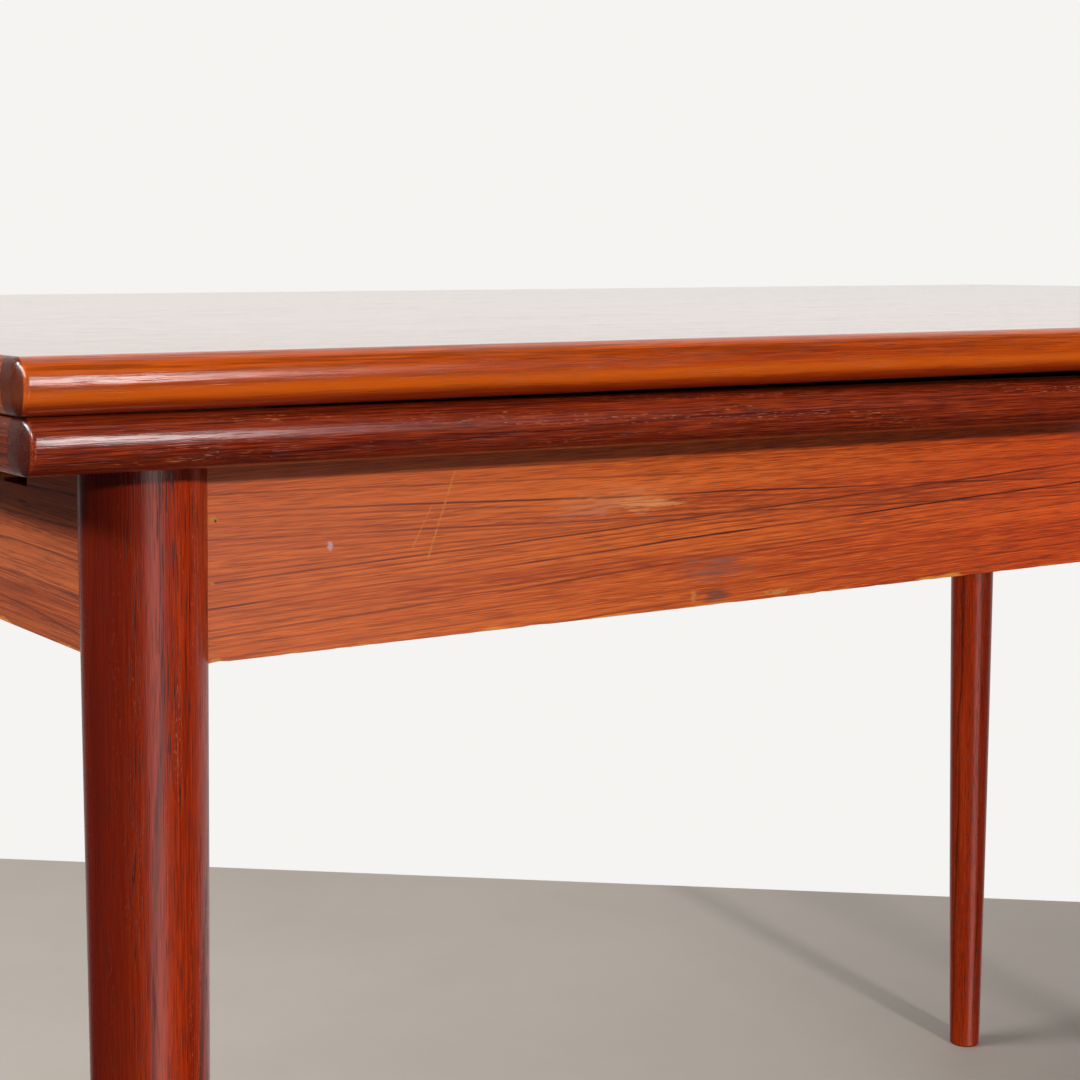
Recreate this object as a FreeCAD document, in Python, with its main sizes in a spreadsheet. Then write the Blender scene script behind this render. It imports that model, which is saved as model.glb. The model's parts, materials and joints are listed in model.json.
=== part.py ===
import FreeCAD, Part
import math
import os
import re
import Sketcher
from FreeCAD import Placement, Rotation, Vector

# A draw-leaf dining table. The frame is four turned legs joined by doweled aprons.
# A leaf is stored under each half of the loose top, and each leaf rides on two inclined
# bearers that run through the end apron and one cross rail. Drawing a leaf out along the
# incline raises it towards the level of the top.
# Origin: on the floor, under the middle of the table. X runs along the table, Y across it.

# ---------------------------------------------------------------- sizes, in millimetres

DRIVING_SIZES = {
    # top and leaves
    "table_height": 720,
    "top_length": 1300,
    "top_width": 910,
    "board_thickness": 17,
    "edging_width": 16,
    "edge_rounding": 8.2,
    "centre_length": 300,
    "leaf_inset": 2.5,
    "leaf_gap": 0.3,
    "leaf_droop": 3.3,
    "apron_clearance": 0.4,
    "joint_gap": 0.3,
    "lipping_width": 6,
    "draw_clearance": 0.5,
    # legs
    "leg_inset_x": 67.5,
    "leg_inset_y": 73,
    "leg_top_radius": 20.9,
    "leg_foot_radius": 14,
    "leg_belly": 0.8,
    "foot_chamfer": 1.5,
    "apron_seat": 18.2,
    "seat_clearance": 0.3,
    # aprons
    "apron_height": 67,
    "apron_thickness": 18,
    # dowels
    "dowel_radius": 4,
    "dowel_in_leg": 16,
    "dowel_in_apron": 24,
    "dowel_in_face": 12,
    "long_dowel_low": 22,
    "long_dowel_high": 48,
    "end_dowel_low": 12,
    "end_dowel_high": 38,
    "rail_dowel_low": 10,
    "rail_dowel_high": 42,
    # bearers of the leaves
    "bearer_width": 20,
    "bearer_inset": 83,
    "bearer_spacing": 34,
    "bearer_setback": 25,
    "bearer_tip": 14.2,
    "bearer_tip_cut": 8,
    "tail_step": 1,
    "stop_length": 30,
    "stop_width": 14,
    "stop_height": 24,
    # what guides the bearers
    "slide_clearance": 0.3,
    "window_clearance": 0.5,
    "notch_play": 1.5,
    "notch_relief": 3.2,
    "runner_length": 40,
    "runner_width": 24,
    "runner_foot": 17,
    "rail_thickness": 22,
    "rail_height": 52,
    # pegs that hold the loose top in line
    "peg_radius": 11,
    "peg_inset": 60,
    "peg_in_top": 10,
    "peg_below": 25,
    "peg_play": 0.3,
    "peg_chamfer": 1.5,
    "keeper_radius": 22,
    "keeper_thickness": 6,
    # blocks
    "glue_block_length": 40,
    "glue_block_size": 20,
    "glue_block_inset": 40,
    "corner_block_reach": 45,
    "corner_block_clip": 12,
    "corner_block_height": 54,
    "corner_block_lift": 7,
    # screws
    "screw_radius": 2,
    "screw_hole_radius": 2.3,
    "screw_head_radius": 4,
    "screw_head_height": 2.5,
    "screw_sink_radius": 4.5,
    "long_screw_length": 30,
    "short_screw_length": 24,
    "centre_screw_grip": 17,
    "keeper_screw_grip": 3,
    "bearer_screw_grip": 12,
    "stop_screw_grip": 11,
    "rail_screw_inset": 110,
    "bearer_screw_inset": 85,
    "stop_screw_pitch": 16,
}

# Each of these is worked out from the driving sizes and from those above it.
WORKED_OUT_SIZES = {
    "leg_x": "top_length / 2 - leg_inset_x",
    "leg_y": "top_width / 2 - leg_inset_y",
    "top_level": "table_height - board_thickness",
    # the centre board fills the height that a leaf takes up at its inner end
    "centre_thickness": "leaf_gap + board_thickness + leaf_droop + apron_clearance",
    "frame_height": "top_level - centre_thickness",
    "apron_bottom": "frame_height - apron_height",
    "long_apron_length": "2 * (leg_x - apron_seat)",
    "end_apron_length": "2 * (leg_y - apron_seat)",
    "inner_x": "leg_x - apron_thickness / 2",
    "inner_y": "leg_y - apron_thickness / 2",
    "outer_x": "leg_x + apron_thickness / 2",
    "centre_width": "2 * leg_y + apron_thickness",
    "leaf_end": "top_length / 2 - leaf_inset",
    "leaf_width": "top_width - 2 * leaf_inset",
    "leaf_length": "leaf_end - centre_length / 2 - joint_gap",
    "leaf_level": "top_level - leaf_gap - board_thickness",
    "leaf_slope": "leaf_droop / leaf_length",
    "bearer_far": "inner_y - bearer_inset",
    "bearer_near": "bearer_far - bearer_spacing",
    "bearer_screw_pitch": "leaf_length / 2 - bearer_screw_inset",
    # a leaf is fully drawn when its inner end has just passed the end of the top
    "full_draw": "(top_length - centre_length) / 2 - joint_gap + draw_clearance",
    "draw_rise": "table_height - leaf_level - board_thickness + leaf_droop",
    "slide_slope": "draw_rise / full_draw",
    # the slope of a bearer's lower edge, seen from its own leaf
    "bearer_slope": "(slide_slope - leaf_slope) / (1 + slide_slope * leaf_slope)",
    "tail_height": "bearer_tip + (leaf_length - bearer_setback) * bearer_slope - tail_step",
    "stop_start": "leaf_end + rail_thickness / 2 + full_draw + slide_clearance",
    "tail_end": "stop_start + stop_length",
    "stop_middle": "-tail_step - (stop_start + stop_length / 2 - leaf_length) * bearer_slope"
                   " - tail_height / 2",
    # heights of a bearer's lower edge, at the middle of the table and at the end apron
    "bearer_low_middle": "leaf_level - bearer_tip - bearer_setback * leaf_slope"
                         " - (leaf_end - bearer_setback) * slide_slope",
    "bearer_low_apron": "bearer_low_middle + outer_x * slide_slope",
    "notch_width": "bearer_width + 2 * notch_play",
    "notch_floor": "bearer_low_apron - notch_relief - apron_bottom",
    "window_width": "bearer_width + 2 * window_clearance",
    "window_floor": "bearer_low_middle - rail_thickness / 2 * slide_slope - window_clearance",
    "window_roof": "bearer_low_middle + tail_height + rail_thickness / 2 * slide_slope"
                   " + window_clearance",
    "rail_bottom": "frame_height - rail_height",
    "runner_bottom": "apron_bottom + runner_foot",
    "peg_length": "peg_in_top + centre_thickness + peg_below",
    "peg_x": "centre_length / 2 - peg_inset",
    "glue_block_x": "centre_length / 2 - glue_block_inset",
    "glue_block_y": "inner_y - glue_block_size / 2",
    "rail_screw_y": "bearer_near - rail_screw_inset",
}

doc = FreeCAD.newDocument("DrawLeafTable")
sheet = doc.addObject("Spreadsheet::Sheet", "Sizes")


def fill_sheet():
    """Puts every size in the sheet: its name in column A, its value in column B."""
    row = 1
    for name, value in DRIVING_SIZES.items():
        sheet.set(f"A{row}", name)
        sheet.set(f"B{row}", str(value))
        sheet.setAlias(f"B{row}", name)
        row += 1
    for name, formula in WORKED_OUT_SIZES.items():
        sheet.set(f"A{row}", name)
        sheet.set(f"B{row}", "=" + formula)
        sheet.setAlias(f"B{row}", name)
        row += 1
    doc.recompute()


fill_sheet()
SIZE_NAMES = set(DRIVING_SIZES) | set(WORKED_OUT_SIZES)


def bound(formula):
    """The formula with each size's name pointing at its cell in the sheet."""
    return re.sub(r"[a-z_]+", lambda m: "Sizes." + m[0] if m[0] in SIZE_NAMES else m[0], str(formula))


def number(formula):
    """The formula's value now."""
    return float(sheet.evalExpression(bound(formula)))


# ---------------------------------------------------------------- sketches and features

PLANE_NORMALS = {"XY_Plane": 1, "XZ_Plane": -1, "YZ_Plane": 1}
CLOSENESS = 0.01
subparts = []


def new_body(label):
    """An empty body, which is one sub-part of the table."""
    body = doc.addObject("PartDesign::Body", label)
    body.Label = label
    subparts.append(body)
    return body


def new_sketch(body, plane, distance="0"):
    """A sketch parallel to one of the body's origin planes, at a distance along its axis."""
    sketch = body.newObject("Sketcher::SketchObject", body.Label + "_sketch")
    origin_plane = [f for f in body.Origin.OriginFeatures if f.Role == plane][0]
    sketch.AttachmentSupport = [(origin_plane, "")]
    sketch.MapMode = "FlatFace"
    sketch.setExpression(".AttachmentOffset.Base.z", bound(f"{PLANE_NORMALS[plane]} * ({distance})"))
    return sketch


def bind(sketch, constraint, formula):
    """Adds a constraint and binds its value to a formula of the sheet's sizes."""
    index = sketch.addConstraint(constraint)
    sketch.setExpression(f"Constraints[{index}]", bound(formula))


def draw_polygon(sketch, points):
    """A closed outline through points whose coordinates are formulas."""
    corners = [Vector(number(x), number(y), 0) for x, y in points]
    first = sketch.GeometryCount
    count = len(corners)
    for i in range(count):
        sketch.addGeometry(Part.LineSegment(corners[i], corners[(i + 1) % count]))
    for i in range(count):
        following = first + (i + 1) % count
        sketch.addConstraint(Sketcher.Constraint("Coincident", first + i, 2, following, 1))
    for i, (x, y) in enumerate(points):
        bind(sketch, Sketcher.Constraint("DistanceX", -1, 1, first + i, 1, corners[i].x), x)
        bind(sketch, Sketcher.Constraint("DistanceY", -1, 1, first + i, 1, corners[i].y), y)


def draw_rectangle(sketch, low_x, low_y, high_x, high_y):
    """A rectangle between two opposite corners."""
    draw_polygon(sketch, [(low_x, low_y), (high_x, low_y), (high_x, high_y), (low_x, high_y)])


def draw_circle(sketch, x, y, radius):
    """A circle whose centre and radius are formulas."""
    index = sketch.GeometryCount
    centre = Vector(number(x), number(y), 0)
    sketch.addGeometry(Part.Circle(centre, Vector(0, 0, 1), number(radius)))
    bind(sketch, Sketcher.Constraint("DistanceX", -1, 1, index, 3, centre.x), x)
    bind(sketch, Sketcher.Constraint("DistanceY", -1, 1, index, 3, centre.y), y)
    bind(sketch, Sketcher.Constraint("Radius", index, number(radius)), radius)


def pad(body, sketch, length, symmetric=False):
    """Raises a sketch along its plane's normal, or equally to both sides of it."""
    feature = body.newObject("PartDesign::Pad", body.Label + "_pad")
    feature.Profile = sketch
    feature.setExpression("Length", bound(length))
    if symmetric:
        feature.SideType = "Symmetric"
    doc.recompute()
    return feature


def cut(body, sketch, plane, length, towards_positive):
    """Cuts a sketch into the body along its plane's axis, and tests that wood was removed."""
    volume = body.Shape.Volume
    feature = body.newObject("PartDesign::Pocket", body.Label + "_cut")
    feature.Profile = sketch
    feature.setExpression("Length", bound(length))
    feature.Reversed = towards_positive == (PLANE_NORMALS[plane] > 0)
    doc.recompute()
    if body.Shape.Volume >= volume:
        raise RuntimeError(f"{feature.Label} removes nothing")


def bore(body, plane, start, towards_positive, centres, radius, length):
    """Bores round holes from a start along the plane's axis."""
    sketch = new_sketch(body, plane, start)
    for x, y in centres:
        draw_circle(sketch, x, y, radius)
    cut(body, sketch, plane, length, towards_positive)


def place(piece, x="0", y="0", z="0"):
    """Puts a piece at a point given by formulas."""
    piece.setExpression(".Placement.Base.x", bound(x))
    piece.setExpression(".Placement.Base.y", bound(y))
    piece.setExpression(".Placement.Base.z", bound(z))


def low_edges(shape):
    """Names of the edges round the shape's underside."""
    return [f"Edge{i}" for i, edge in enumerate(shape.Edges, 1) if edge.BoundBox.ZMax < CLOSENESS]


def edges_between(shape, start, end):
    """Names of the shape's edges that run, in plan, from one point to another."""
    names = []
    for i, edge in enumerate(shape.Edges, 1):
        ends = [Vector(v.X, v.Y, 0) for v in edge.Vertexes]
        if len(ends) != 2:
            continue
        forward = ends[0].isEqual(start, CLOSENESS) and ends[1].isEqual(end, CLOSENESS)
        backward = ends[0].isEqual(end, CLOSENESS) and ends[1].isEqual(start, CLOSENESS)
        if forward or backward:
            names.append(f"Edge{i}")
    return names


# ---------------------------------------------------------------- boards and their edgings

def edging(label, outline, rounded_sides=1):
    """A solid edging of a board, padded from its plan. The first sides of the plan are rounded."""
    body = new_body(label)
    sketch = new_sketch(body, "XY_Plane")
    draw_polygon(sketch, outline)
    strip = pad(body, sketch, "board_thickness")
    corners = [Vector(number(x), number(y), 0) for x, y in outline]
    names = []
    for start, end in zip(corners[:rounded_sides], corners[1:]):
        names += edges_between(strip.Shape, start, end)
    rounding = body.newObject("PartDesign::Fillet", label + "_rounding")
    rounding.Base = (strip, names)
    rounding.setExpression("Radius", bound("edge_rounding"))
    doc.recompute()
    return body


def board(label, low_x, low_y, high_x, high_y, thickness):
    """A flat rectangular board."""
    body = new_body(label)
    sketch = new_sketch(body, "XY_Plane")
    draw_rectangle(sketch, low_x, low_y, high_x, high_y)
    pad(body, sketch, thickness)
    return body


# ---------------------------------------------------------------- the frame

FRAME_CORNERS = {
    "front_left": (-1, -1),
    "front_right": (1, -1),
    "back_left": (-1, 1),
    "back_right": (1, 1),
}

# the swelling taper of a leg is turned as this many cones, one above another
LEG_CONES = 4


def leg(corner, side_x, side_y):
    """A turned leg: round, swelling slightly as it tapers, with two flats for the aprons."""
    body = new_body(f"leg_{corner}")
    profile = new_sketch(body, "XZ_Plane")
    stations = [i / LEG_CONES for i in range(LEG_CONES + 1)]
    outline = [("0", "0")]
    for t in stations:
        straight = f"leg_foot_radius + (leg_top_radius - leg_foot_radius) * {t}"
        outline.append((f"{straight} + leg_belly * {4 * t * (1 - t)}", f"frame_height * {t}"))
    outline.append(("0", "frame_height"))
    draw_polygon(profile, outline)
    turning = body.newObject("PartDesign::Revolution", body.Label + "_turning")
    turning.Profile = profile
    turning.ReferenceAxis = (profile, ["V_Axis"])
    turning.Angle = 360
    doc.recompute()
    ease = body.newObject("PartDesign::Chamfer", body.Label + "_foot")
    ease.Base = (turning, low_edges(turning.Shape))
    ease.setExpression("Size", bound("foot_chamfer"))
    doc.recompute()

    # the flats face the middle of the table, one for the long apron and one for the end apron
    flats = new_sketch(body, "XY_Plane", "apron_bottom - seat_clearance")
    x_seat, x_reach = f"{-side_x} * apron_seat", f"{-side_x} * 2 * leg_top_radius"
    y_seat, y_reach = f"{-side_y} * apron_seat", f"{-side_y} * 2 * leg_top_radius"
    x_back, y_back = f"{side_x} * leg_top_radius", f"{side_y} * leg_top_radius"
    draw_polygon(flats, [
        (x_seat, y_back),
        (x_reach, y_back),
        (x_reach, y_reach),
        (x_back, y_reach),
        (x_back, y_seat),
        (x_seat, y_seat),
    ])
    cut(body, flats, "XY_Plane", "apron_height + 2 * seat_clearance", True)

    start = "(apron_seat - dowel_in_leg)"
    low = "apron_bottom + long_dowel_low"
    high = "apron_bottom + long_dowel_high"
    bore(body, "YZ_Plane", f"{-side_x} * {start}", side_x < 0, [("0", low), ("0", high)],
         "dowel_radius", "dowel_in_leg")
    low = "apron_bottom + end_dowel_low"
    high = "apron_bottom + end_dowel_high"
    bore(body, "XZ_Plane", f"{-side_y} * {start}", side_y < 0, [("0", low), ("0", high)],
         "dowel_radius", "dowel_in_leg")
    place(body, f"{side_x} * leg_x", f"{side_y} * leg_y")


def long_apron(label, side_y):
    """An apron along the table, bored for the leg dowels and for the cross rail's dowels."""
    body = new_body(label)
    sketch = new_sketch(body, "XZ_Plane")
    draw_rectangle(sketch, "-long_apron_length / 2", "0", "long_apron_length / 2", "apron_height")
    pad(body, sketch, "apron_thickness", symmetric=True)
    leg_dowels = [("0", "long_dowel_low"), ("0", "long_dowel_high")]
    for end in (-1, 1):
        start = f"{end} * (long_apron_length / 2 - dowel_in_apron)"
        bore(body, "YZ_Plane", start, end > 0, leg_dowels, "dowel_radius", "dowel_in_apron")
    lift = "rail_bottom - apron_bottom"
    rail_dowels = [("0", f"{lift} + rail_dowel_low"), ("0", f"{lift} + rail_dowel_high")]
    start = f"{-side_y} * (apron_thickness / 2 - dowel_in_face)"
    bore(body, "XZ_Plane", start, side_y < 0, rail_dowels, "dowel_radius", "dowel_in_face")
    place(body, y=f"{side_y} * leg_y", z="apron_bottom")


def end_apron(label, side):
    """An apron across the table, notched from above where its leaf's two bearers pass."""
    body = new_body(label)
    sketch = new_sketch(body, "YZ_Plane")
    half = "end_apron_length / 2"
    lower, upper = ("bearer_far", "bearer_near") if side < 0 else ("bearer_near", "bearer_far")
    outline = [(f"-{half}", "0"), (half, "0"), (half, "apron_height")]
    for centre in (upper, f"-{lower}"):
        outline += [
            (f"{centre} + notch_width / 2", "apron_height"),
            (f"{centre} + notch_width / 2", "notch_floor"),
            (f"{centre} - notch_width / 2", "notch_floor"),
            (f"{centre} - notch_width / 2", "apron_height"),
        ]
    outline.append((f"-{half}", "apron_height"))
    draw_polygon(sketch, outline)
    pad(body, sketch, "apron_thickness", symmetric=True)
    leg_dowels = [("0", "end_dowel_low"), ("0", "end_dowel_high")]
    for end in (-1, 1):
        start = f"{end} * (end_apron_length / 2 - dowel_in_apron)"
        bore(body, "XZ_Plane", start, end > 0, leg_dowels, "dowel_radius", "dowel_in_apron")
    place(body, x=f"{side} * leg_x", z="apron_bottom")


def guide_rail():
    """The cross rail under the centre board, with a window for each of the four bearers."""
    body = new_body("guide_rail")
    sketch = new_sketch(body, "YZ_Plane")
    draw_rectangle(sketch, "-inner_y", "0", "inner_y", "rail_height")
    floor = "window_floor - rail_bottom"
    roof = "window_roof - rail_bottom"
    for centre in ("-bearer_far", "-bearer_near", "bearer_near", "bearer_far"):
        draw_rectangle(sketch, f"{centre} - window_width / 2", floor, f"{centre} + window_width / 2", roof)
    pad(body, sketch, "rail_thickness", symmetric=True)
    dowels = [("0", "rail_dowel_low"), ("0", "rail_dowel_high")]
    grip = "(dowel_in_leg + dowel_in_apron - dowel_in_face)"
    for end in (-1, 1):
        bore(body, "XZ_Plane", f"{end} * (inner_y - {grip})", end > 0, dowels, "dowel_radius", grip)
    screws = [("0", "-rail_screw_y"), ("0", "rail_screw_y")]
    bore(body, "XY_Plane", "0", True, screws, "screw_hole_radius", "rail_height")
    bore(body, "XY_Plane", "0", True, screws, "screw_sink_radius", "rail_height - centre_screw_grip")
    place(body, z="rail_bottom")


def centre_board():
    """The fixed board between the leaves, flush with the long aprons, with the peg holes."""
    half_x, half_y = "centre_length / 2", "centre_width / 2"
    body = board("centre_board", f"-{half_x}", f"-{half_y}", half_x, half_y, "centre_thickness")
    pegs = [("-peg_x", "0"), ("peg_x", "0")]
    bore(body, "XY_Plane", "0", True, pegs, "peg_radius + peg_play", "centre_thickness")
    bore(body, "XY_Plane", "0", True, centre_screw_places(), "screw_radius",
         "long_screw_length - centre_screw_grip")
    place(body, z="frame_height")


def centre_screw_places():
    """Where the centre board is screwed down: through the glue blocks and the cross rail."""
    places = [
        (f"{end} * glue_block_x", f"{side} * glue_block_y")
        for end in (-1, 1)
        for side in (-1, 1)
    ]
    return places + [("0", "-rail_screw_y"), ("0", "rail_screw_y")]


def glue_block(corner, side_x, side_y):
    """A block in the angle between a long apron and the centre board, with one screw."""
    half = "glue_block_length / 2"
    thick = "glue_block_size / 2"
    body = board(f"glue_block_{corner}", f"-{half}", f"-{thick}", half, thick, "glue_block_size")
    bore(body, "XY_Plane", "0", True, [("0", "0")], "screw_hole_radius", "glue_block_size")
    bore(body, "XY_Plane", "0", True, [("0", "0")], "screw_sink_radius",
         "glue_block_size - centre_screw_grip")
    place(body, f"{side_x} * glue_block_x", f"{side_y} * glue_block_y", "frame_height - glue_block_size")


def corner_block(corner, side_x, side_y):
    """A three-cornered block glued behind a leg, its point cut off to clear the leg."""
    body = new_body(f"corner_block_{corner}")
    sketch = new_sketch(body, "XY_Plane")
    reach, clip = "corner_block_reach", "corner_block_clip"
    draw_polygon(sketch, [
        (f"{-side_x} * {clip}", "0"),
        (f"{-side_x} * {reach}", "0"),
        ("0", f"{-side_y} * {reach}"),
        ("0", f"{-side_y} * {clip}"),
    ])
    pad(body, sketch, "corner_block_height")
    place(body, f"{side_x} * inner_x", f"{side_y} * inner_y", "apron_bottom + corner_block_lift")


def runner_block(label, side, centre):
    """A block inside an end apron, its top cut to the bearer's slope, which carries the bearer."""
    body = new_body(label)
    sketch = new_sketch(body, "XZ_Plane", centre)
    near = "bearer_low_middle + inner_x * slide_slope - slide_clearance - runner_bottom"
    far = f"{near} - runner_length * slide_slope"
    draw_polygon(sketch, [
        ("0", "0"),
        ("0", near),
        (f"{-side} * runner_length", far),
        (f"{-side} * runner_length", "0"),
    ])
    pad(body, sketch, "runner_width", symmetric=True)
    place(body, x=f"{side} * inner_x", z="runner_bottom")


# ---------------------------------------------------------------- the loose top

def table_top():
    """The veneered panel of the top, with blind holes for the pegs, and its edgings. Those of the
    long sides run right through, and those of the ends fit between them."""
    half_x, half_y = "top_length / 2", "top_width / 2"
    in_x, in_y = f"({half_x} - edging_width)", f"({half_y} - edging_width)"
    panel = board("top_panel", f"-{in_x}", f"-{in_y}", in_x, in_y, "board_thickness")
    pegs = [("-peg_x", "0"), ("peg_x", "0")]
    bore(panel, "XY_Plane", "0", True, pegs, "peg_radius", "peg_in_top")
    place(panel, z="top_level")
    for side, name in ((-1, "front"), (1, "back")):
        strip = edging(f"top_edging_{name}", [
            (f"-{half_x}", f"{side} * {in_y}"),
            (f"-{half_x}", f"{side} * {half_y}"),
            (half_x, f"{side} * {half_y}"),
            (half_x, f"{side} * {in_y}"),
        ], rounded_sides=3)
        place(strip, z="top_level")
    for side, name in ((-1, "left"), (1, "right")):
        strip = edging(f"top_edging_{name}", [
            (f"{side} * {half_x}", f"-{in_y}"),
            (f"{side} * {half_x}", in_y),
            (f"{side} * {in_x}", in_y),
            (f"{side} * {in_x}", f"-{in_y}"),
        ])
        place(strip, z="top_level")


def top_peg(name, side):
    """A round peg glued into the top, which slides in the centre board, and its keeper disc."""
    peg = new_body(f"top_peg_{name}")
    sketch = new_sketch(peg, "XY_Plane")
    draw_circle(sketch, "0", "0", "peg_radius")
    rod = pad(peg, sketch, "peg_length")
    ease = peg.newObject("PartDesign::Chamfer", peg.Label + "_ease")
    ease.Base = (rod, low_edges(rod.Shape))
    ease.setExpression("Size", bound("peg_chamfer"))
    doc.recompute()
    bore(peg, "XY_Plane", "0", True, [("0", "0")], "screw_radius",
         "long_screw_length - keeper_screw_grip")
    place(peg, f"{side} * peg_x", "0", "frame_height - peg_below")

    keeper = new_body(f"peg_keeper_{name}")
    sketch = new_sketch(keeper, "XY_Plane")
    draw_circle(sketch, "0", "0", "keeper_radius")
    pad(keeper, sketch, "keeper_thickness")
    bore(keeper, "XY_Plane", "0", True, [("0", "0")], "screw_hole_radius", "keeper_thickness")
    bore(keeper, "XY_Plane", "0", True, [("0", "0")], "screw_sink_radius",
         "keeper_thickness - keeper_screw_grip")
    place(keeper, f"{side} * peg_x", "0", "frame_height - peg_below - keeper_thickness")


# ---------------------------------------------------------------- the leaves

def hang(piece, side):
    """Puts a piece of a leaf in place: drawn from the leaf's outer lower edge, a little nose-up."""
    piece.Placement = Placement(Vector(0, 0, 0), Rotation(Vector(0, 1, 0), -side))
    piece.setExpression(".Placement.Rotation.Angle", bound(f"{-side} * atan(leaf_slope)"))
    place(piece, f"{side} * leaf_end", "0", "leaf_level")


def bearer_screw_places():
    """How far each screw of a bearer is from the leaf's outer end."""
    return [f"bearer_screw_inset + {i} * bearer_screw_pitch" for i in range(3)]


def leaf_boards(name, side):
    """The veneered panel of a leaf, its three rounded edgings and the thin lipping inside."""
    inward = -side
    half_y = "leaf_width / 2"
    in_y = f"({half_y} - edging_width)"
    lip = "(leaf_length - lipping_width)"
    panel = board(f"{name}_leaf_panel", f"{inward} * edging_width", f"-{in_y}", f"{inward} * {lip}", in_y,
                  "board_thickness")
    screws = [
        (f"{inward} * ({distance})", centre)
        for centre in bearer_centres(side)
        for distance in bearer_screw_places()
    ]
    bore(panel, "XY_Plane", "0", True, screws, "screw_radius", "short_screw_length - bearer_screw_grip")
    hang(panel, side)
    for edge, end in (("front", -1), ("back", 1)):
        strip = edging(f"{name}_leaf_edging_{edge}", [
            ("0", f"{end} * {in_y}"),
            ("0", f"{end} * {half_y}"),
            (f"{inward} * leaf_length", f"{end} * {half_y}"),
            (f"{inward} * leaf_length", f"{end} * {in_y}"),
        ], rounded_sides=2)
        hang(strip, side)
    strip = edging(f"{name}_leaf_edging_outer", [
        ("0", f"-{in_y}"),
        ("0", in_y),
        (f"{inward} * edging_width", in_y),
        (f"{inward} * edging_width", f"-{in_y}"),
    ])
    hang(strip, side)
    strip = board(f"{name}_leaf_lipping", f"{inward} * {lip}", f"-{in_y}", f"{inward} * leaf_length", in_y,
                  "board_thickness")
    hang(strip, side)


def bearer_centres(side):
    """Where a leaf's two bearers lie across the table. Half a turn carries one pair to the other."""
    return (f"{side} * bearer_far", f"{-side} * bearer_near")


def bearer(label, side, centre, stop_side):
    """A tapered bar under a leaf, whose tail runs on through the cross rail to its stop block."""
    inward = -side
    tail_top = "(-tail_step - (tail_end - leaf_length) * bearer_slope)"
    body = new_body(label)
    sketch = new_sketch(body, "XZ_Plane", centre)
    outline = [
        ("bearer_setback", "0"),
        ("leaf_length", "0"),
        ("leaf_length", "-tail_step"),
        ("tail_end", tail_top),
        ("tail_end", f"{tail_top} - tail_height"),
        ("bearer_setback + bearer_tip_cut", "-bearer_tip - bearer_tip_cut * bearer_slope"),
        ("bearer_setback", "-bearer_tip + bearer_tip_cut"),
    ]
    draw_polygon(sketch, [(f"{inward} * ({x})", z) for x, z in outline])
    pad(body, sketch, "bearer_width", symmetric=True)
    screws = [(f"{inward} * ({distance})", centre) for distance in bearer_screw_places()]
    depth = "(bearer_tip + leaf_length * bearer_slope)"
    bore(body, "XY_Plane", "0", False, screws, "screw_hole_radius", depth)
    bore(body, "XY_Plane", "-bearer_screw_grip", False, screws, "screw_sink_radius", depth)
    stop_screws = [(f"{inward} * ({distance})", "stop_middle") for distance in stop_screw_places()]
    face = f"{centre} + {stop_side} * bearer_width / 2"
    bite = "(short_screw_length - stop_screw_grip)"
    bore(body, "XZ_Plane", f"{face} - {stop_side} * {bite}", stop_side > 0, stop_screws, "screw_radius", bite)
    hang(body, side)


def stop_screw_places():
    """How far each screw of a stop block is from the leaf's outer end."""
    return [f"stop_start + stop_length / 2 + {i} * stop_screw_pitch / 2" for i in (-1, 1)]


def stop_block(label, side, centre, stop_side):
    """A block on the side of a bearer's tail, which meets the cross rail at full draw."""
    inward = -side
    body = new_body(label)
    face = f"({centre} + {stop_side} * bearer_width / 2)"
    sketch = new_sketch(body, "XZ_Plane", f"{face} + {stop_side} * stop_width / 2")
    draw_rectangle(sketch, f"{inward} * stop_start", "stop_middle - stop_height / 2",
                   f"{inward} * tail_end", "stop_middle + stop_height / 2")
    pad(body, sketch, "stop_width", symmetric=True)
    screws = [(f"{inward} * ({distance})", "stop_middle") for distance in stop_screw_places()]
    bore(body, "XZ_Plane", face, stop_side > 0, screws, "screw_hole_radius", "stop_width")
    bore(body, "XZ_Plane", f"{face} + {stop_side} * stop_screw_grip", stop_side > 0, screws,
         "screw_sink_radius", "stop_width - stop_screw_grip")
    hang(body, side)


def leaf(name, side):
    """One leaf with its two bearers and their stop blocks."""
    leaf_boards(name, side)
    far, near = bearer_centres(side)
    front, back = ("far", "near") if side < 0 else ("near", "far")
    for edge, which in (("front", front), ("back", back)):
        centre = far if which == "far" else near
        stop_side = (-1 if edge == "front" else 1) * (1 if which == "far" else -1)
        bearer(f"{name}_bearer_{edge}", side, centre, stop_side)
        stop_block(f"{name}_stop_block_{edge}", side, centre, stop_side)


# ---------------------------------------------------------------- dowels and screws

def group(label, solids, side=None):
    """Identical fasteners as one sub-part of separate solids."""
    feature = doc.addObject("Part::Feature", label)
    feature.Label = label
    feature.Shape = Part.makeCompound(solids)
    feature.Placement = Placement()
    if side is not None:
        hang(feature, side)
    subparts.append(feature)


def screw(length, head, direction):
    """A pan-headed wood screw whose head seats at a point and whose shank runs in a direction."""
    shank, rim = number("screw_radius"), number("screw_head_radius")
    height = number("screw_head_height")
    outline = [
        Vector(0, 0, -height),
        Vector(rim - height / 2, 0, -height),
        Vector(rim, 0, 0),
        Vector(shank, 0, 0),
        Vector(shank, 0, length),
        Vector(0, 0, length),
        Vector(0, 0, -height),
    ]
    solid = Part.Face(Part.makePolygon(outline)).revolve(Vector(0, 0, 0), Vector(0, 0, 1), 360)
    solid.Placement = Placement(head, Rotation(Vector(0, 0, 1), direction))
    return solid


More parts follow.
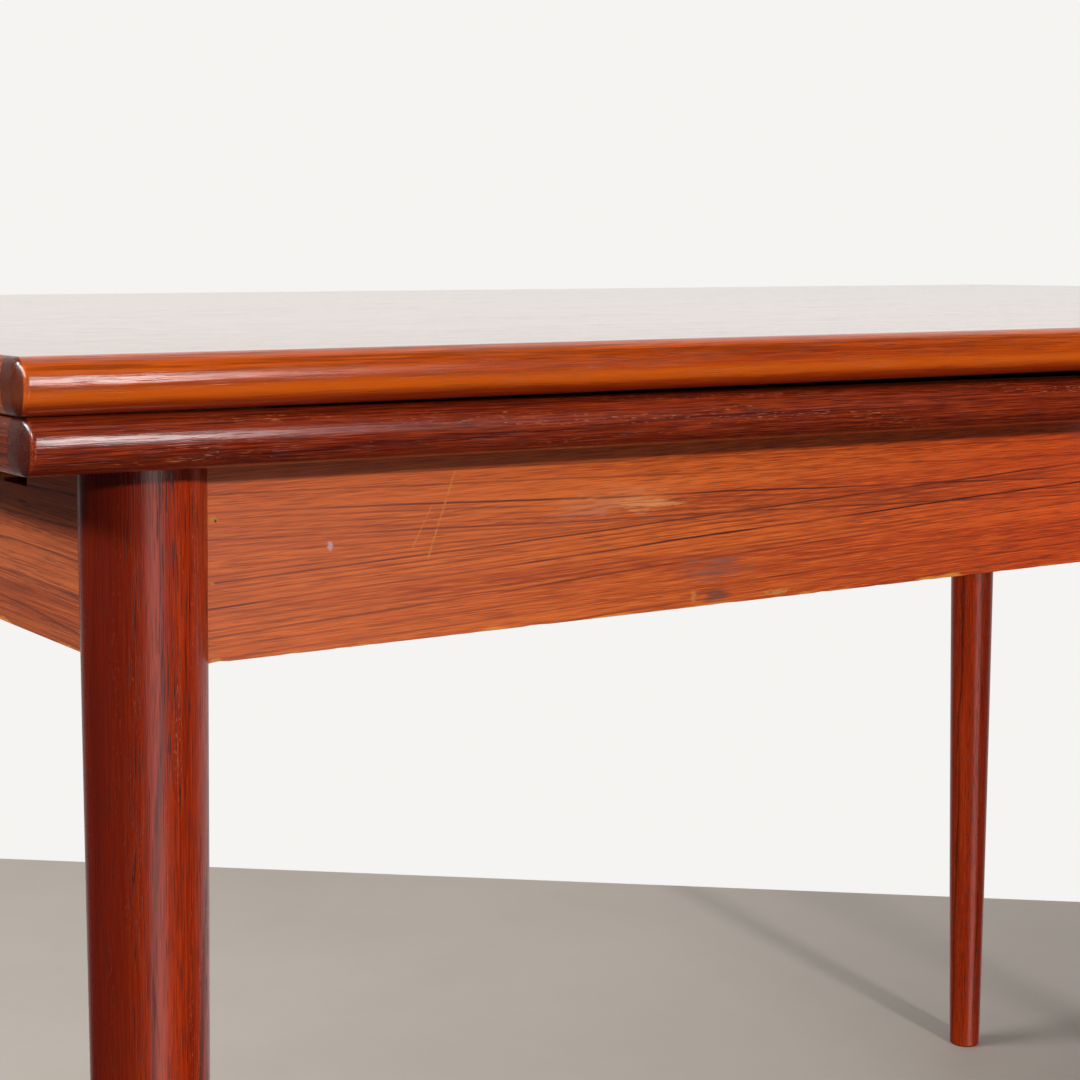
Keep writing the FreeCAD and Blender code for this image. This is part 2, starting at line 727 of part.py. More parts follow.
def dowels():
    """Every dowel of the frame: two in each leg joint and two at each end of the cross rail."""
    radius = number("dowel_radius")
    length = number("dowel_in_leg + dowel_in_apron")
    base = number("apron_bottom")
    solids = []
    for side_x, side_y in FRAME_CORNERS.values():
        start_x = side_x * number("leg_x - apron_seat + dowel_in_leg")
        start_y = side_y * number("leg_y - apron_seat + dowel_in_leg")
        for rise in ("long_dowel_low", "long_dowel_high"):
            start = Vector(start_x, side_y * number("leg_y"), base + number(rise))
            solids.append(Part.makeCylinder(radius, length, start, Vector(-side_x, 0, 0)))
        for rise in ("end_dowel_low", "end_dowel_high"):
            start = Vector(side_x * number("leg_x"), start_y, base + number(rise))
            solids.append(Part.makeCylinder(radius, length, start, Vector(0, -side_y, 0)))
    for side_y in (-1, 1):
        for rise in ("rail_dowel_low", "rail_dowel_high"):
            start = Vector(0, side_y * number("inner_y + dowel_in_face"), number("rail_bottom") + number(rise))
            solids.append(Part.makeCylinder(radius, length, start, Vector(0, -side_y, 0)))
    group("dowels", solids)


def centre_board_screws():
    """The screws that hold the centre board down, driven up from below."""
    length = number("long_screw_length")
    seat = number("frame_height - centre_screw_grip")
    group("centre_board_screws", [
        screw(length, Vector(number(x), number(y), seat), Vector(0, 0, 1))
        for x, y in centre_screw_places()
    ])


def keeper_screws():
    """The screws that hold the keeper discs to the pegs."""
    length = number("long_screw_length")
    seat = number("frame_height - peg_below - keeper_screw_grip")
    places = [number("-peg_x"), number("peg_x")]
    group("keeper_screws", [screw(length, Vector(x, 0, seat), Vector(0, 0, 1)) for x in places])


def leaf_screws(name, side):
    """The screws of one leaf: up through its bearers, and sideways through its stop blocks."""
    length = number("short_screw_length")
    seat = -number("bearer_screw_grip")
    bearer_screws = [
        screw(length, Vector(-side * number(distance), number(centre), seat), Vector(0, 0, 1))
        for centre in bearer_centres(side)
        for distance in bearer_screw_places()
    ]
    group(f"{name}_bearer_screws", bearer_screws, side)
    stop_screws = []
    # the far bearer's block is on its outer side, the near bearer's on its inner side
    for centre, outward in zip(bearer_centres(side), (side, side)):
        face = number(centre) + outward * number("bearer_width / 2 + stop_screw_grip")
        for distance in stop_screw_places():
            head = Vector(-side * number(distance), face, number("stop_middle"))
            stop_screws.append(screw(length, head, Vector(0, -outward, 0)))
    group(f"{name}_stop_screws", stop_screws, side)


# ---------------------------------------------------------------- assembly and export

def build():
    """Makes every sub-part."""
    for corner, (side_x, side_y) in FRAME_CORNERS.items():
        leg(corner, side_x, side_y)
        corner_block(corner, side_x, side_y)
        glue_block(corner, side_x, side_y)
    long_apron("apron_front", -1)
    long_apron("apron_back", 1)
    end_apron("apron_left", -1)
    end_apron("apron_right", 1)
    guide_rail()
    centre_board()
    for name, side in (("left", -1), ("right", 1)):
        far, near = bearer_centres(side)
        front, back = (far, near) if side < 0 else (near, far)
        runner_block(f"runner_block_{name}_front", side, front)
        runner_block(f"runner_block_{name}_back", side, back)
        leaf(name, side)
        leaf_screws(name, side)
        top_peg(name, side)
    table_top()
    dowels()
    centre_board_screws()
    keeper_screws()
    doc.recompute()


def check_and_export():
    """Tests every object and shape, then writes one file for each sub-part."""
    for item in doc.Objects:
        if "Invalid" in item.State or "Error" in item.State:
            raise RuntimeError(f"{item.Label} failed: {item.State}")
    for piece in subparts:
        if piece.Shape.isNull() or not piece.Shape.isValid() or not piece.Shape.Solids:
            raise RuntimeError(f"{piece.Label} has no sound shape")
    os.makedirs("parts", exist_ok=True)
    for piece in subparts:
        piece.Shape.exportStep(f"parts/{piece.Label}.step")


build()
check_and_export()
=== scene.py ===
import json
import math
from math import radians

import bmesh
import bpy
from mathutils import Matrix, Vector, noise


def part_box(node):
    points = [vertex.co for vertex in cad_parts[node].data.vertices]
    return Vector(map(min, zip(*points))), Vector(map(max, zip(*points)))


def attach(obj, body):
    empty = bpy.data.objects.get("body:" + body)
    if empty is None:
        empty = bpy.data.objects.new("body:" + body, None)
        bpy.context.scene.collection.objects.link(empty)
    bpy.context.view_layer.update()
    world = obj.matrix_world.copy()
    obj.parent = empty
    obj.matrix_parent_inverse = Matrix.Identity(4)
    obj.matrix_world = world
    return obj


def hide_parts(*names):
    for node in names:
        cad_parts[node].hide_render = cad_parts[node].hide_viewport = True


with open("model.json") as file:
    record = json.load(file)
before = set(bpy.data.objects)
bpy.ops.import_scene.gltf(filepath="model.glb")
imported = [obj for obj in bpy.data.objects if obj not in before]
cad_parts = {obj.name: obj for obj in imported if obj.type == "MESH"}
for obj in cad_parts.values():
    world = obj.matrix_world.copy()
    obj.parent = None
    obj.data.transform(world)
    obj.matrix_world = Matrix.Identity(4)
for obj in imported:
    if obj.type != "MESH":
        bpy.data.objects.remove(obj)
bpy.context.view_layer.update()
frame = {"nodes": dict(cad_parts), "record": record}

# A draw-leaf dining table in oiled teak. Every length is in metres.

MM = 0.001
SIDES = {"left": -1, "right": 1}
CORNERS = {"front_left": (-1, -1), "front_right": (1, -1),
           "back_left": (-1, 1), "back_right": (1, 1)}

# ---------------------------------------------------------------- sizes read from the frame

TOP_LOW, TOP_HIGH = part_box("top_panel")
BOARD = TOP_HIGH.z - TOP_LOW.z
EDGING = TOP_LOW.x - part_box("top_edging_left")[0].x
HALF_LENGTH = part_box("top_edging_right")[1].x
HALF_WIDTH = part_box("top_edging_back")[1].y
APRON_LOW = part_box("apron_front")[0]
FEET = {m["name"][5:]: m["pos_m"] for m in frame["record"]["mounts"]
        if m["name"].startswith("foot")}
LEAF_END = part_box("right_leaf_edging_outer")[1].x

# ---------------------------------------------------------------- sizes of the finish

EDGE_ROUNDING = 8.2 * MM
CORNER_ROUNDING = 9 * MM
END_ROUNDING = 2.8 * MM
ARRIS_EASE = 0.5 * MM
PANEL_EASE = 0.1 * MM
CORNER_STEPS = 10
EDGE_STEPS = 12
LEG_TOP_RADIUS = 20.9 * MM
LEG_FOOT_RADIUS = 14 * MM
LEG_BELLY = 0.8 * MM
LEG_SEAT = 18.2 * MM
FOOT_EASE = 1.5 * MM
LEG_RINGS = 40
LEG_SIDES = 120
CHIP_CUTS = 300
CHIP_DEPTH = 0.8 * MM
CHIP_START = 0.15
SCREW_SLOT = 0.9 * MM
SCREW_SLOT_DEPTH = 1.1 * MM
SCREW_HEAD = 2.5 * MM
SCREW_TIP = 4 * MM
SCREW_SIDES = 32
SHANK_RADIUS = 2 * MM
SCREW_TURN = 1.9

# corners closer than this are one, and faces turned by less than this are one face
SAME_POINT = 0.01 * MM
FLAT_ENOUGH = radians(1)
# an edge that turns by more than this is rounded off, and by more than the next is shaded sharp
REAL_CORNER = radians(50)
SHARP_ARRIS = radians(30)


# ---------------------------------------------------------------- material helpers

def add(tree, kind, inputs=None, **settings):
    """Adds a node. Each input is a number, a colour, or another node's output."""
    node = tree.nodes.new(kind)
    for key, value in settings.items():
        setattr(node, key, value)
    for key, value in (inputs or {}).items():
        if isinstance(value, bpy.types.NodeSocket):
            tree.links.new(value, node.inputs[key])
        else:
            node.inputs[key].default_value = value
    return node


def calculate(tree, operation, first, second=0.0, clamp=False):
    """The output of a Math node."""
    inputs = {0: first, 1: second}
    return add(tree, "ShaderNodeMath", inputs, operation=operation, use_clamp=clamp).outputs[0]


def move(tree, operation, first, second):
    """The vector output of a Vector Math node."""
    inputs = {0: first, 1: second}
    return add(tree, "ShaderNodeVectorMath", inputs, operation=operation).outputs[0]


def axes(tree, vector):
    """A vector's X, Y and Z."""
    return add(tree, "ShaderNodeSeparateXYZ", {0: vector}).outputs


def span(tree, value, start, end, low=0.0, high=1.0):
    """Maps a value from one range to another, smoothly and with both ends held."""
    node = add(tree, "ShaderNodeMapRange", {0: value, 1: start, 2: end, 3: low, 4: high})
    node.interpolation_type = "SMOOTHSTEP"
    return node.outputs[0]


def blend(tree, amount, first, second, mode="MIX"):
    """The colour output of a Mix node."""
    inputs = {0: amount, 6: first, 7: second}
    return add(tree, "ShaderNodeMix", inputs, data_type="RGBA", blend_type=mode).outputs[2]


def clouds(tree, place, stretch, detail=2.0, roughness=0.5, distortion=0.0):
    """A noise whose cells are stretched: so many cells to the metre along X, Y and Z."""
    inputs = {"Vector": move(tree, "MULTIPLY", place, stretch), "Scale": 1.0, "Detail": detail,
              "Roughness": roughness, "Distortion": distortion}
    return add(tree, "ShaderNodeTexNoise", inputs).outputs[0]


def colour(red, green, blue):
    """An sRGB colour, given from 0 to 255, as the linear colour that a shader takes."""
    def linear(value):
        share = value / 255
        return share / 12.92 if share <= 0.04045 else ((share + 0.055) / 1.055) ** 2.4
    return (linear(red), linear(green), linear(blue), 1.0)


def new_material(name):
    """An empty material, its node tree and its shader."""
    material = bpy.data.materials.new(name)
    material.use_nodes = True
    tree = material.node_tree
    tree.nodes.clear()
    shader = add(tree, "ShaderNodeBsdfPrincipled")
    output = add(tree, "ShaderNodeOutputMaterial")
    tree.links.new(shader.outputs[0], output.inputs[0])
    return material, tree, shader


# ---------------------------------------------------------------- wood

# the turn that brings a material's grain, which runs along one axis, onto X
GRAIN_TURN = {"X": (0, 0, 0), "Y": (0, 0, radians(-90)), "Z": (0, radians(90), 0)}

# cells of noise to the metre, along the grain and then across it
SWAY = (1.6, 9.0, 9.0)
FLUTTER = (9.0, 60.0, 60.0)
LINE_BREAKS = (16.0, 150.0, 150.0)
TONES = (2.6, 60.0, 60.0)
FIBRES = (12.0, 1700.0, 1700.0)
PORES = (70.0, 3400.0, 3400.0)
PORE_GROUPS = (4.0, 170.0, 170.0)
GLINT_GROUPS = (12.0, 190.0, 190.0)
HAIRS_ACROSS = 2800.0
GLINTS_ACROSS = 3600.0

# how far slow and quick noise push the growth lines, in gaps between them
SWAY_PUSH = 4.0
FLUTTER_PUSH = 0.25

# the colour of painted glints, as if light caught the pores
PAINTED_GLINT_COLOUR = colour(216, 132, 92)
END_GRAIN_COLOUR = colour(58, 22, 16)
POLISHED = 0.08
RELIEF = 0.1 * MM


def wood(name, grain, dark, middle, light, line, ring_gap=10 * MM, ring_turn=55.0, lean=0.0,
         line_depth=0.75, streak=1.0, strand=45 * MM, pores=0.6, painted_glints=0.0, glint_length=3 * MM,
         roughness=0.3, shine=0.5, matt_pores=0.15, offset=0.0, bump=0.35, drawn_lines=(),
         end_grain=0.0, polished_top=False, extra=None):
    """Oiled teak. Fine streaks of tone lie along the grain, with thin dark growth lines, short dark
    pores and pale dots, which are painted glints of light off the pores."""
    material, tree, shader = new_material(name)
    place = add(tree, "ShaderNodeTexCoord").outputs["Object"]
    inputs = {"Vector": place, "Rotation": GRAIN_TURN[grain]}
    turned = add(tree, "ShaderNodeMapping", inputs).outputs[0]
    inputs = {"Vector": turned, "Location": (offset, offset * 0.37, offset * 0.71),
              "Rotation": (radians(ring_turn), radians(lean), 0)}
    along = add(tree, "ShaderNodeMapping", inputs).outputs[0]

    # growth lines: either drawn one by one, or planes across the grain that slow noise bends
    flutter = clouds(tree, along, FLUTTER, detail=3.0)
    if drawn_lines:
        thin = growth_lines(tree, place, flutter, drawn_lines)
        late = thin
    else:
        sway = clouds(tree, along, SWAY, detail=3.0, roughness=0.45)
        phase = calculate(tree, "MULTIPLY", axes(tree, along)[2], 1 / ring_gap)
        phase = calculate(tree, "ADD", phase, calculate(tree, "MULTIPLY", sway, SWAY_PUSH))
        phase = calculate(tree, "ADD", phase, calculate(tree, "MULTIPLY", flutter, FLUTTER_PUSH))
        ring = calculate(tree, "FRACT", phase)
        late = span(tree, ring, 0.70, 0.985)
        edge = span(tree, ring, 0.0, 0.03, 1.0, 0.0)
        thin = calculate(tree, "MAXIMUM", calculate(tree, "POWER", late, 9.0), edge)
    breaks = clouds(tree, along, LINE_BREAKS, detail=3.0)
    thin = calculate(tree, "MULTIPLY", thin, span(tree, breaks, 0.34, 0.58, 0.35, 1.0))

    # tone, fibre, hair, pores and painted glints
    tone = clouds(tree, along, TONES, detail=3.0, roughness=0.6)
    fibre = clouds(tree, along, FIBRES, detail=1.0, roughness=0.6)
    hair = clouds(tree, along, (1 / strand, HAIRS_ACROSS, HAIRS_ACROSS), detail=1.0)
    cluster = span(tree, clouds(tree, along, PORE_GROUPS, detail=2.0), 0.36, 0.64, 0.3, 1.0)
    dash = clouds(tree, along, PORES, detail=0.0)
    pore = calculate(tree, "MULTIPLY", span(tree, dash, 0.60, 0.70), cluster)

    base = blend(tree, span(tree, tone, 0.32, 0.68), dark, light)
    base = blend(tree, 0.5, base, middle)
    base = blend(tree, span(tree, fibre, 0.50, 0.30, 0.0, 0.5 * streak), base, dark)
    base = blend(tree, span(tree, fibre, 0.52, 0.72, 0.0, 0.5 * streak), base, light)
    base = blend(tree, span(tree, hair, 0.46, 0.28, 0.0, 0.5 * streak), base, line)
    base = blend(tree, span(tree, hair, 0.52, 0.72, 0.0, 0.7 * streak), base, light)
    base = blend(tree, calculate(tree, "MULTIPLY", late, 0.18), base, dark)
    base = blend(tree, calculate(tree, "MULTIPLY", thin, line_depth), base, line)
    base = blend(tree, calculate(tree, "MULTIPLY", pore, pores), base, line)
    # painted glints: pale dots in clusters, standing for light caught by the pores
    if painted_glints:
        across = (1 / glint_length, GLINTS_ACROSS, GLINTS_ACROSS)
        glint_dots = clouds(tree, along, across, detail=0.0)
        glint_clusters = clouds(tree, along, GLINT_GROUPS, detail=2.0, distortion=0.4)
        glint = calculate(tree, "MULTIPLY", span(tree, glint_dots, 0.66, 0.78),
                          span(tree, glint_clusters, 0.48, 0.64))
        base = blend(tree, calculate(tree, "MULTIPLY", glint, painted_glints), base, PAINTED_GLINT_COLOUR)

    # gloss and relief
    gloss = calculate(tree, "MULTIPLY", fibre, matt_pores)
    gloss = calculate(tree, "ADD", gloss, roughness - matt_pores / 2)
    gloss = calculate(tree, "ADD", gloss, calculate(tree, "MULTIPLY", pore, matt_pores))
    if extra:
        base, gloss = extra(tree, place, base, gloss)
    if end_grain:
        base = blend(tree, open_end(tree, place, end_grain), base, END_GRAIN_COLOUR)
    height = calculate(tree, "SUBTRACT", calculate(tree, "MULTIPLY", hair, 0.5), pore)
    height = calculate(tree, "SUBTRACT", height, calculate(tree, "MULTIPLY", thin, 0.4))
    if polished_top:
        facing = add(tree, "ShaderNodeTexCoord").outputs["Normal"]
        level = span(tree, axes(tree, facing)[2], 0.96, 0.995)
        gloss = add(tree, "ShaderNodeMix", {0: level, 2: gloss, 3: POLISHED}).outputs[0]
        height = calculate(tree, "MULTIPLY", height, calculate(tree, "SUBTRACT", 1.0, level))
    inputs = {"Strength": bump, "Distance": RELIEF, "Height": height}
    tree.links.new(add(tree, "ShaderNodeBump", inputs).outputs[0], shader.inputs["Normal"])
    tree.links.new(base, shader.inputs["Base Color"])
    tree.links.new(gloss, shader.inputs["Roughness"])
    shader.inputs["Specular IOR Level"].default_value = shine
    return material


def open_end(tree, place, end):
    """How far end grain shows, on the rounded end of a board whose grain runs along X."""
    facing = axes(tree, add(tree, "ShaderNodeTexCoord").outputs["Normal"])
    across = calculate(tree, "MULTIPLY", calculate(tree, "ABSOLUTE", facing[1]), 1.6)
    turned = calculate(tree, "SUBTRACT", calculate(tree, "ABSOLUTE", facing[0]), across)
    reach = calculate(tree, "ABSOLUTE", axes(tree, place)[0])
    near = span(tree, reach, end - 5 * MM, end - 4 * MM)
    return calculate(tree, "MULTIPLY", span(tree, turned, 0.04, 0.16, 0.0, 0.85), near)


# a growth line's half width: its dark core, and where it has faded out
LINE_CORE, LINE_FADE = 0.16 * MM, 0.5 * MM
LINE_WAVER = 2.4 * MM


def growth_lines(tree, place, flutter, lines):
    """Thin growth lines on a face along X. Each has its height at the face's left end, its slope
    and its strength, and wavers a little."""
    split = axes(tree, place)
    run = calculate(tree, "ADD", split[0], -APRON_LOW.x)
    waver = calculate(tree, "SUBTRACT", flutter, 0.5)
    level = calculate(tree, "ADD", split[2], calculate(tree, "MULTIPLY", waver, LINE_WAVER))
    drawn = None
    for height, slope, strength in lines:
        away = calculate(tree, "SUBTRACT", level, calculate(tree, "MULTIPLY", run, slope))
        away = calculate(tree, "ABSOLUTE", calculate(tree, "SUBTRACT", away, height))
        one = span(tree, away, LINE_CORE, LINE_FADE, strength, 0.0)
        drawn = one if drawn is None else calculate(tree, "MAXIMUM", drawn, one)
    return drawn


# how strongly noise frays a mark's outline, and the distance, in half sizes, at which the mark ends
RAGGEDNESS = 3.6
PATCH_EDGE = 3.3


def patch(tree, place, centre, size, ragged):
    """A ragged mark on the front apron's face: its centre and half size along X and Z."""
    offset = move(tree, "SUBTRACT", place, (centre[0], APRON_LOW.y, centre[1]))
    scaled = move(tree, "MULTIPLY", offset, (1 / size[0], 1 / MM, 1 / size[1]))
    reach = add(tree, "ShaderNodeVectorMath", {0: scaled}, operation="LENGTH").outputs["Value"]
    reach = calculate(tree, "ADD", reach, calculate(tree, "MULTIPLY", ragged, RAGGEDNESS))
    return span(tree, reach, PATCH_EDGE, PATCH_EDGE - 1)


def scratch(tree, place, start, end, ragged, width):
    """A straight scratch on the front apron's face, from one point to another along X and Z."""
    run = Vector((end[0] - start[0], end[1] - start[1]))
    turn = math.atan2(run.y, run.x)
    middle = ((start[0] + end[0]) / 2, APRON_LOW.y, (start[1] + end[1]) / 2)
    inputs = {"Vector": move(tree, "SUBTRACT", place, middle), "Rotation": (0, turn, 0)}
    turned = add(tree, "ShaderNodeMapping", inputs).outputs[0]
    split = axes(tree, move(tree, "MULTIPLY", turned, (2 / run.length, 1 / MM, 1 / width)))
    inside = span(tree, calculate(tree, "ABSOLUTE", split[0]), 0.9, 1.0, 1.0, 0.0)
    near = span(tree, calculate(tree, "ABSOLUTE", split[2]), 0.3, 1.2, 1.0, 0.0)
    face = span(tree, calculate(tree, "ABSOLUTE", split[1]), 1.0, 1.5, 1.0, 0.0)
    line = calculate(tree, "MULTIPLY", calculate(tree, "MULTIPLY", inside, near), face)
    return calculate(tree, "MULTIPLY", line, span(tree, ragged, 0.38, 0.55, 0.1, 1.0))


def worn_arris(tree, place, base, gloss):
    """An apron's lower arris, rubbed through to pale yellow wood."""
    ragged = clouds(tree, place, (38.0, 38.0, 160.0), detail=4.0)
    reach = span(tree, ragged, 0.42, 0.75, 0.0, 2.2 * MM)
    line = calculate(tree, "ADD", reach, APRON_LOW.z + 0.3 * MM)
    below = calculate(tree, "SUBTRACT", line, axes(tree, place)[2])
    bare = calculate(tree, "MULTIPLY", below, 1 / (0.8 * MM), clamp=True)
    base = blend(tree, calculate(tree, "MULTIPLY", bare, 0.75), base, colour(222, 146, 58))
    return base, gloss


def edging_streaks_and_painted_light(tree, place, base, gloss):
    """The top's long edgings: streaked brown above, a golden stripe of painted light below the
    middle, dark red painted shade underneath. Heights are above the edging's lower face."""
    waver = calculate(tree, "MULTIPLY", clouds(tree, place, (5.0, 60.0, 60.0), detail=3.0), 4 * MM)
    level = calculate(tree, "ADD", axes(tree, place)[2], waver)
    level = calculate(tree, "SUBTRACT", level, TOP_LOW.z + 2 * MM)
    streaks = clouds(tree, place, (13.0, 480.0, 480.0), detail=4.0, roughness=0.65)
    upper = span(tree, level, 8 * MM, 13 * MM)
    dark = calculate(tree, "MULTIPLY", upper, span(tree, streaks, 0.47, 0.62, 0.0, 0.58))
    base = blend(tree, dark, base, colour(112, 40, 6))
    # painted light: a golden stripe just below the middle of the rounding
    lit_stripe_fade = span(tree, level, 6.4 * MM, 9 * MM, 1.0, 0.0)
    painted_lit_stripe = calculate(tree, "MULTIPLY", span(tree, level, 3.4 * MM, 5.4 * MM), lit_stripe_fade)
    base = blend(tree, calculate(tree, "MULTIPLY", painted_lit_stripe, 0.55), base, colour(226, 102, 16))
    # painted shade: dark red where the rounding turns down underneath
    base = blend(tree, span(tree, level, 1.4 * MM, 4.6 * MM, 0.7, 0.0), base, colour(124, 22, 5))
    return base, gloss


def painted_shade_outer_side(tree, place, base, gloss):
    """Painted shade: a leg darkened on the side that faces the table's end."""
    out = calculate(tree, "ABSOLUTE", axes(tree, place)[0])
    # painted shade on each leg's outer side
    base = blend(tree, span(tree, out, 578 * MM, 600 * MM, 0.0, 0.85), base, colour(84, 16, 4))
    return base, gloss


# the front apron's marks. A scratch: its two ends and its width. Any other: its centre and half
# size along X and Z, its colour and how strongly it covers
SCRATCHES = (
    ((-0.4687, 0.6740), (-0.4805, 0.6424), 0.5 * MM),
    ((-0.4785, 0.6616), (-0.4866, 0.6471), 0.3 * MM),
)
SCUFFS = (
    ((-0.397, 0.6585), (24 * MM, 4.2 * MM), (214, 132, 84), 0.6),
    ((-0.384, 0.6562), (12 * MM, 2.2 * MM), (226, 152, 96), 0.75),
    ((-0.414, 0.6545), (12 * MM, 3.2 * MM), (196, 120, 92), 0.6),
    ((-0.354, 0.6285), (14 * MM, 4.6 * MM), (136, 82, 70), 0.8),
    ((-0.352, 0.6190), (7 * MM, 2.2 * MM), (104, 60, 50), 0.8),
)
CHIPS = (
    ((-0.363, 0.6190), (1.1 * MM, 1.8 * MM), (206, 136, 70), 0.55),
    ((-0.321, 0.6172), (6 * MM, 0.9 * MM), (208, 140, 72), 0.7),
    ((-0.5187, 0.6502), (0.8 * MM, 1.5 * MM), (196, 158, 172), 0.85),
    ((-0.5622, 0.6622), (1.6 * MM, 0.9 * MM), (200, 136, 50), 0.8),
    ((-0.5612, 0.6618), (0.5 * MM, 0.5 * MM), (70, 34, 20), 0.9),
    ((-0.5628, 0.6412), (1.1 * MM, 0.5 * MM), (190, 122, 48), 0.8),
    ((-0.5618, 0.6158), (2.4 * MM, 0.6 * MM), (204, 140, 58), 0.8),
)


def front_apron_wear_and_sheen(tree, place, base, gloss):
    """The front apron's marks and painted sheen: a pale sheen painted on the left that fades,
    leaving the face more red to the right, with a branching scratch, scuffs, a dented dark patch
    and chips."""
    run = axes(tree, place)[0]
    # painted sheen: the face is tinted more red to the right, where the painted sheen has faded
    sheen_fade_tint = (1.0, 0.56, 0.42, 1.0)
    base = blend(tree, span(tree, run, -0.42, -0.05), base, sheen_fade_tint, mode="MULTIPLY")
    # painted sheen: a pale pinkish haze painted over the left part of the face
    base = blend(tree, span(tree, run, -0.6, -0.34, 0.26, 0.0), base, colour(186, 112, 96))
    base, gloss = worn_arris(tree, place, base, gloss)
    fine = clouds(tree, place, (500.0, 500.0, 1400.0), detail=4.0, roughness=0.65)
    coarse = clouds(tree, place, (80.0, 80.0, 620.0), detail=5.0, roughness=0.65)
    strokes = clouds(tree, place, (55.0, 55.0, 1300.0), detail=2.0)
    strokes = span(tree, strokes, 0.42, 0.58, 0.15, 1.0)
    for start, end, width in SCRATCHES:
        line = scratch(tree, place, start, end, fine, width)
        base = blend(tree, calculate(tree, "MULTIPLY", line, 0.75), base, colour(206, 130, 58))
    for centre, size, tint, depth in SCUFFS:
        mark = calculate(tree, "MULTIPLY", patch(tree, place, centre, size, coarse), strokes)
        base = blend(tree, calculate(tree, "MULTIPLY", mark, depth), base, colour(*tint))
        gloss = calculate(tree, "ADD", gloss, calculate(tree, "MULTIPLY", mark, 0.12))
    for centre, size, tint, depth in CHIPS:
        mark = patch(tree, place, centre, size, fine)
        base = blend(tree, calculate(tree, "MULTIPLY", mark, depth), base, colour(*tint))
    return base, gloss


# the front apron's growth lines: height at its left end, slope, strength
FRONT_LINES = (
    (0.6704, -0.020, 0.45), (0.6644, -0.029, 0.9), (0.6600, -0.027, 0.35), (0.6557, -0.025, 0.7),
    (0.6508, -0.008, 0.3), (0.6460, 0.022, 0.35), (0.6409, 0.042, 0.85), (0.6368, 0.044, 0.4),
    (0.6325, 0.044, 1.0), (0.6282, 0.040, 0.5), (0.6232, 0.046, 0.6), (0.6196, 0.034, 0.5),
    (0.6160, 0.030, 0.4), (0.6105, 0.034, 0.5), (0.6045, 0.038, 0.5), (0.6745, -0.012, 0.4),
    (0.6622, -0.028, 0.4), (0.6578, -0.026, 0.45), (0.6534, -0.016, 0.35), (0.6434, 0.032, 0.4),
    (0.6388, 0.043, 0.45), (0.6346, 0.044, 0.4), (0.6303, 0.042, 0.35), (0.6257, 0.043, 0.4),
)

# each wood's tones: dark, middle and light, and then its growth lines and pores
APRON_TONES = (colour(160, 56, 14), colour(200, 84, 24), colour(232, 118, 42), colour(64, 20, 18))
END_APRON_TONES = (colour(138, 54, 24), colour(168, 76, 34),
                   colour(202, 104, 50), colour(58, 26, 22))
LEG_TONES = (colour(120, 24, 3), colour(166, 44, 7), colour(198, 64, 13), colour(50, 11, 7))
TOP_EDGING_TONES = (colour(144, 40, 6), colour(190, 72, 10),
                    colour(214, 98, 16), colour(76, 22, 6))
TOP_END_TONES = (colour(98, 32, 10), colour(140, 56, 14), colour(172, 84, 24), colour(56, 20, 12))
LEAF_EDGING_TONES = (colour(76, 13, 5), colour(114, 30, 11),
                     colour(166, 62, 24), colour(40, 9, 12))
LEAF_END_TONES = (colour(72, 18, 8), colour(104, 34, 14), colour(140, 60, 26), colour(40, 12, 12))
TOP_TONES = (colour(120, 58, 28), colour(160, 90, 48), colour(196, 126, 74), colour(60, 26, 14))
# the leaf panel's veneer is darker and more red than the top's; part of that is painted shade for
# its underside, which is seen in shadow
LEAF_TONES_AND_SHADE = (colour(112, 46, 22), colour(146, 70, 34), colour(174, 98, 50), colour(66, 28, 18))
PLAIN_TONES = (colour(128, 60, 30), colour(158, 84, 44), colour(186, 112, 62), colour(80, 38, 22))
BEECH_TONES = (colour(186, 142, 98), colour(206, 166, 122),
               colour(220, 184, 142), colour(150, 104, 66))

